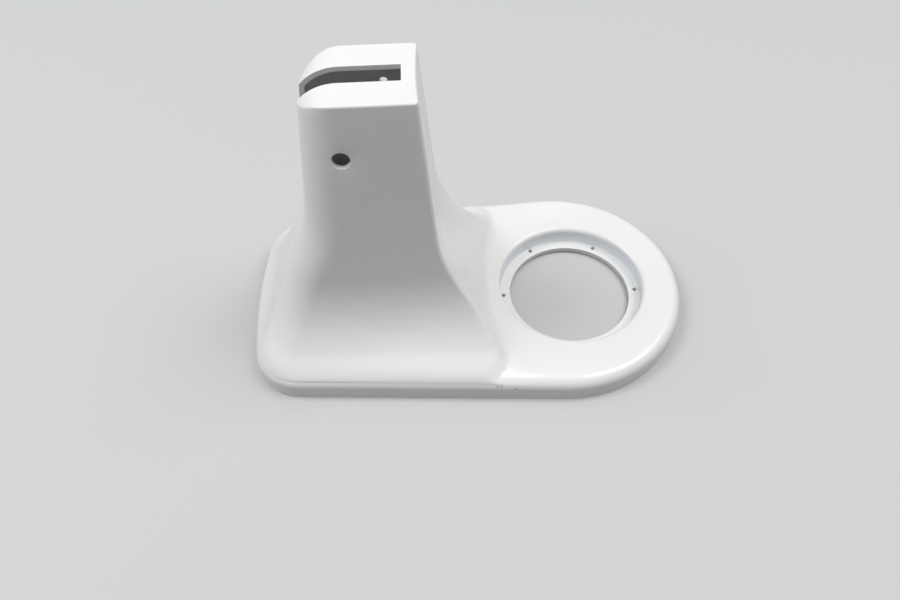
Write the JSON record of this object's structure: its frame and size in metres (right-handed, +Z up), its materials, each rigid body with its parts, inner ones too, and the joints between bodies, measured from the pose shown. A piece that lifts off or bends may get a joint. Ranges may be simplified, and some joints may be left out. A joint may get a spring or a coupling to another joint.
{
  "type": "moulded stand housing",
  "caption": "Hollow moulded stand housing: a slotted, tapered column flares into a round-ended base that has a stepped opening with screw holes for a round plate.",
  "frame": {"origin": "on the floor plane, on the axis of the round opening", "axes": "+Z up along the axis of the round opening, +X towards the round lobe and away from the column; the form is mirrored about the XZ plane apart from the side holes and the small relief"},
  "size_m": [0.3338, 0.1912, 0.2195],
  "materials": {
    "white_plastic": "glossy white moulded plastic"
  },
  "bodies": {
    "root": {"housing": "white_plastic"}
  },
  "joints": []
}
